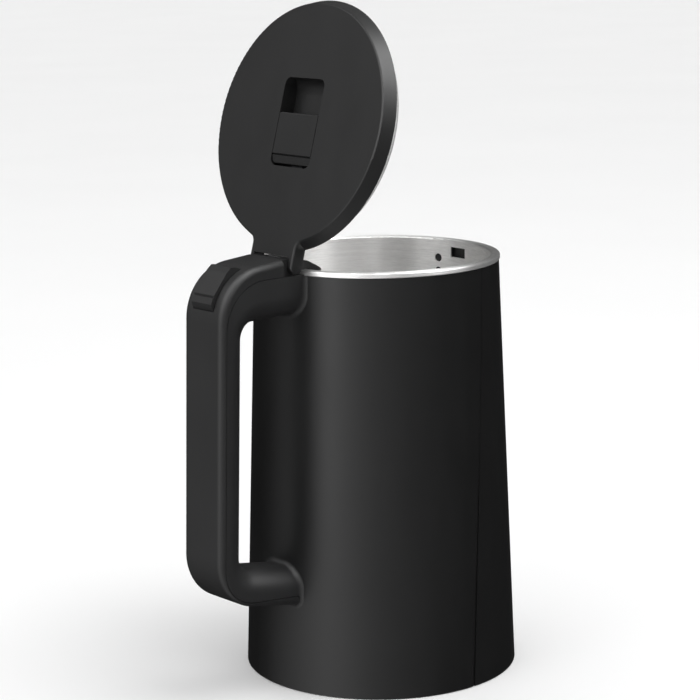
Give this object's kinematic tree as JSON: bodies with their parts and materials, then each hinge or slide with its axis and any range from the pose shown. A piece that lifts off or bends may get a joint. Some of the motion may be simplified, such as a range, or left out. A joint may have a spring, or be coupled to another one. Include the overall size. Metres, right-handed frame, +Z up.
{
  "type": "electric jug kettle",
  "caption": "Round tapered electric jug kettle with a steel inner pot, loop handle, rocker switch and hinged lid shown open, with a lift tab that draws back its latch bolt.",
  "frame": {"origin": "centre of the foot ring's underside, the plane that the jug stands on", "axes": "+Z up, +X from the handle towards the pouring side, so that the handle is at -X, +Y completes a right-handed frame; the lid hinge runs along Y"},
  "size_m": [0.1972, 0.1482, 0.3602],
  "materials": {
    "case_black": "satin black",
    "lid_black": "satin black",
    "tab_black": "satin black",
    "handle_black": "satin black",
    "grip_black": "satin black",
    "block_black": "satin black",
    "rocker_grey": "satin dark grey",
    "base_black": "matt black",
    "socket_black": "matt black",
    "inner_plastic": "matt grey",
    "control_plastic": "matt ivory",
    "bolt_plastic": "matt dark grey",
    "pot_steel": "brushed round the axis",
    "plug_steel": "brushed round the axis",
    "pin_steel": "ground",
    "screw_steel": "zinc plated",
    "spring_steel": "drawn wire",
    "element_steel": "dull",
    "heater_aluminium": "as cast",
    "contact_brass": "polished",
    "seal_rubber": "translucent grey silicone",
    "wire_sheath": "white silicone sleeve"
  },
  "bodies": {
    "jug": {"casing_rear": "case_black", "casing_front": "case_black", "inner_pot": "pot_steel", "latch_keeper": "inner_plastic", "rim_gasket": "seal_rubber", "hinge_block": "block_black", "hinge_pin": "pin_steel", "lid_spring": "spring_steel", "handle_cover": "handle_black", "handle_grip": "grip_black", "handle_screws": "screw_steel", "switch_pin": "pin_steel", "steam_switch": "inner_plastic", "switch_wires": "wire_sheath", "heater_plate": "heater_aluminium", "heating_element": "element_steel", "thermostat": "control_plastic", "bimetal_discs": "contact_brass", "connector_socket": "socket_black", "contact_pin": "contact_brass", "contact_rings": "contact_brass", "element_cradle": "inner_plastic", "base_cover": "base_black", "base_screws": "screw_steel"},
    "lid": {"lid_cap": "lid_black", "lid_plug": "plug_steel", "lid_frame": "inner_plastic", "lid_gasket": "seal_rubber", "lid_screws": "screw_steel", "tab_pin": "pin_steel", "latch_spring": "spring_steel"},
    "lift_tab": {"lift_tab": "tab_black"},
    "latch_bolt": {"latch_bolt": "bolt_plastic"},
    "switch_rocker": {"switch_rocker": "rocker_grey"}
  },
  "joints": [
    {"name": "lid_hinge", "type": "hinge", "parent": "jug", "child": "lid", "pos_m": [-0.071, 0, 0.2299], "axis": [0, 1, 0], "range_deg": [0, 74], "stiffness_Nm_per_rad": 0.1, "springref_deg": -34.38},
    {"name": "tab_hinge", "type": "hinge", "parent": "lid", "child": "lift_tab", "pos_m": [-0.05542, 0, 0.28098], "axis": [0, -1, 0], "range_deg": [0, 36], "stiffness_Nm_per_rad": 0.02, "springref_deg": -17.19},
    {"name": "latch_slide", "type": "slide", "parent": "lid", "child": "latch_bolt", "axis": [-0.2756, 0, -0.9613], "range_m": [0, 0.0024]},
    {"name": "switch_rocker_hinge", "type": "hinge", "parent": "jug", "child": "switch_rocker", "pos_m": [-0.1061, 0, 0.2166], "axis": [0, -1, 0], "range_deg": [0, 7]}
  ],
  "couplings": [
    {"joint": "tab_hinge", "follows": "latch_slide", "rad_per_m": 254.5}
  ]
}
